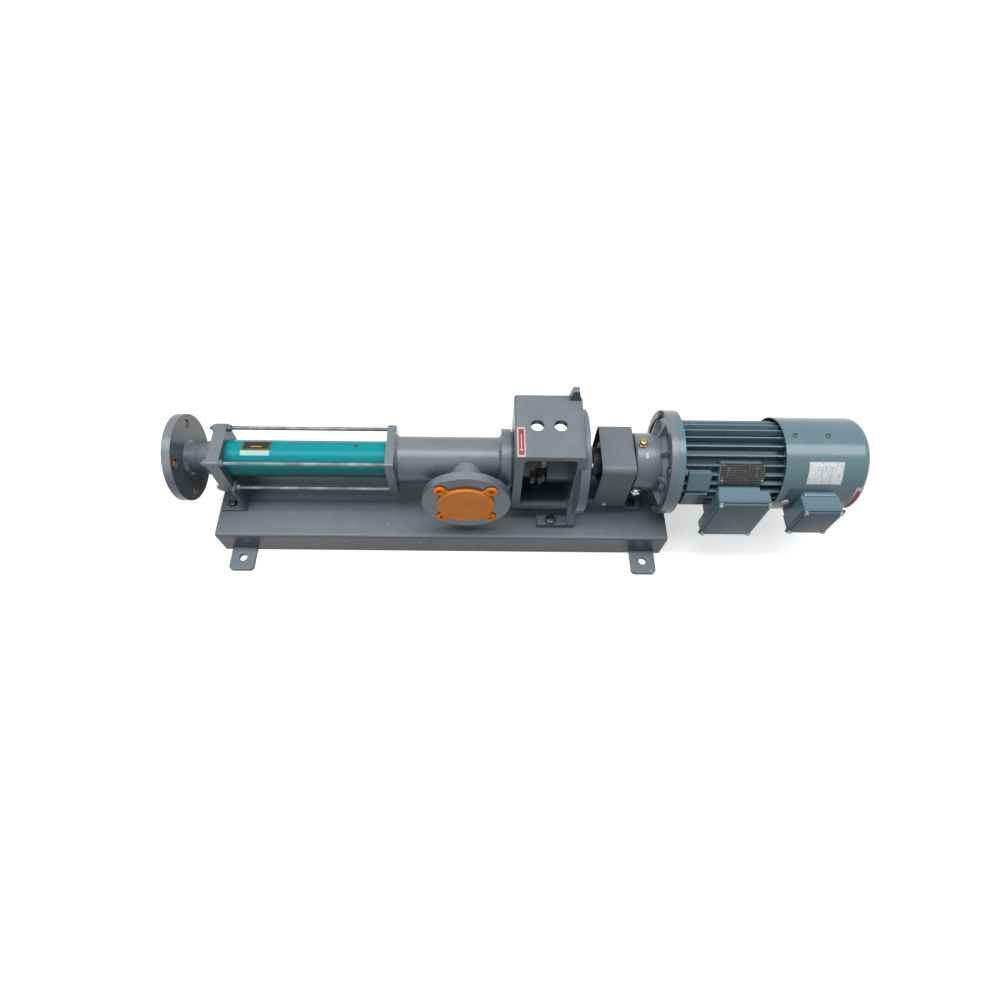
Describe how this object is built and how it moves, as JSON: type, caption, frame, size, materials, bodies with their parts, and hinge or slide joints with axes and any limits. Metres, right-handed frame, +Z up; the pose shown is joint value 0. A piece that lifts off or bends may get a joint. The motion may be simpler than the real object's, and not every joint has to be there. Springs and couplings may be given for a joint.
{
  "type": "progressive cavity pump",
  "caption": "Progressive cavity pump: helical rotor in a rubber-lined stator, side suction port, open bearing bracket, guarded coupling, geared motor with its own fan, steel base.",
  "frame": {"origin": "centre of the four foundation holes, on the floor under the foot tabs", "axes": "+X along the shaft from the discharge port to the motor, +Z up, the suction port faces -Y"},
  "size_m": [1.439, 0.362, 0.336],
  "materials": {
    "pump_paint": "satin slate grey enamel",
    "stator_paint": "gloss teal enamel",
    "guard_paint": "satin warm grey enamel",
    "motor_paint": "satin blue-green grey enamel",
    "steel": "turned steel",
    "stainless": "polished stainless steel",
    "zinc": "zinc plated",
    "iron": "machined cast iron",
    "core": "varnished laminations",
    "rubber": "black nitrile rubber",
    "packing": "braided packing",
    "spider": "red polyurethane",
    "brass": "turned brass",
    "cap": "orange moulded plastic",
    "fan_plastic": "black moulded plastic"
  },
  "bodies": {
    "frame": {"base_channel": "pump_paint", "foot_tabs": "pump_paint", "base_bolts": "zinc", "discharge_body": "pump_paint", "discharge_support": "pump_paint", "tie_rods": "zinc", "tie_rod_nuts": "zinc", "stator_tube": "stator_paint", "stator_lining": "rubber", "suction_casing": "pump_paint", "drain_plug": "zinc", "stuffing_box": "pump_paint", "box_screws": "zinc", "packing_rings": "packing", "gland": "iron", "gland_studs": "zinc", "bearing_bracket": "pump_paint", "bearing_outer_rings": "steel", "bearing_spacer": "steel", "bearing_cover": "pump_paint", "cover_screws": "zinc", "lip_seal": "rubber", "grease_nipple": "brass", "coupling_guard": "guard_paint", "guard_brackets": "guard_paint", "guard_screws": "zinc", "reducer_housing": "pump_paint", "breather_plug": "brass", "level_plug": "zinc", "adapter_flange": "pump_paint", "flange_bolts": "zinc", "motor_front_shield": "motor_paint", "motor_frame": "motor_paint", "motor_stator_core": "core", "motor_rear_shield": "motor_paint", "fan_cowl": "motor_paint", "cowl_screws": "zinc", "fan_motor": "motor_paint", "terminal_box": "motor_paint", "terminal_box_lid": "motor_paint", "fan_terminal_box": "motor_paint", "fan_box_lid": "motor_paint"},
    "drive": {"drive_shaft": "steel", "drive_pin": "stainless", "bearing_inner_rings": "steel", "pump_coupling_hub": "iron", "coupling_spider": "spider", "reducer_coupling_hub": "iron", "reducer_shaft": "steel"},
    "orbit": {"joint_sleeves": "rubber"},
    "coupling_rod": {"coupling_rod": "stainless"},
    "rotor": {"rotor": "stainless", "rotor_pin": "stainless"},
    "rollers": {"bearing_rollers": "steel"},
    "motor_rotor": {"motor_shaft": "steel", "motor_rotor_core": "core"},
    "fan": {"cooling_fan": "fan_plastic"},
    "suction_cap": {"suction_cap": "cap"},
    "discharge_cap": {"discharge_cap": "cap"}
  },
  "joints": [
    {"name": "drive_shaft_spin", "type": "hinge", "parent": "frame", "child": "drive", "pos_m": [0.2, 0, 0.188], "axis": [1, 0, 0], "continuous": true},
    {"name": "rotor_orbit", "type": "hinge", "parent": "frame", "child": "orbit", "pos_m": [0, 0, 0.188], "axis": [1, 0, 0], "continuous": true},
    {"name": "coupling_rod_turn", "type": "hinge", "parent": "orbit", "child": "coupling_rod", "pos_m": [0.074, 0, 0.188], "axis": [0.9994, 0, -0.034], "continuous": true},
    {"name": "rotor_turn", "type": "hinge", "parent": "orbit", "child": "rotor", "pos_m": [-0.073, 0, 0.193], "axis": [1, 0, 0], "continuous": true},
    {"name": "roller_cage_spin", "type": "hinge", "parent": "frame", "child": "rollers", "pos_m": [0.26, 0, 0.188], "axis": [1, 0, 0], "continuous": true},
    {"name": "motor_shaft_spin", "type": "hinge", "parent": "frame", "child": "motor_rotor", "pos_m": [0.6, 0, 0.188], "axis": [1, 0, 0], "continuous": true},
    {"name": "fan_spin", "type": "hinge", "parent": "frame", "child": "fan", "pos_m": [0.76, 0, 0.188], "axis": [1, 0, 0], "continuous": true},
    {"name": "suction_cap_pull", "type": "slide", "parent": "frame", "child": "suction_cap", "axis": [0, -1, 0], "range_m": [0, 0.06]},
    {"name": "discharge_cap_pull", "type": "slide", "parent": "frame", "child": "discharge_cap", "axis": [-1, 0, 0], "range_m": [0, 0.06]}
  ],
  "couplings": [
    {"joint": "rotor_orbit", "follows": "drive_shaft_spin", "ratio": -1},
    {"joint": "coupling_rod_turn", "follows": "drive_shaft_spin", "ratio": 2},
    {"joint": "rotor_turn", "follows": "drive_shaft_spin", "ratio": 2},
    {"joint": "roller_cage_spin", "follows": "drive_shaft_spin", "ratio": 0.4131},
    {"joint": "motor_shaft_spin", "follows": "drive_shaft_spin", "ratio": 4}
  ]
}
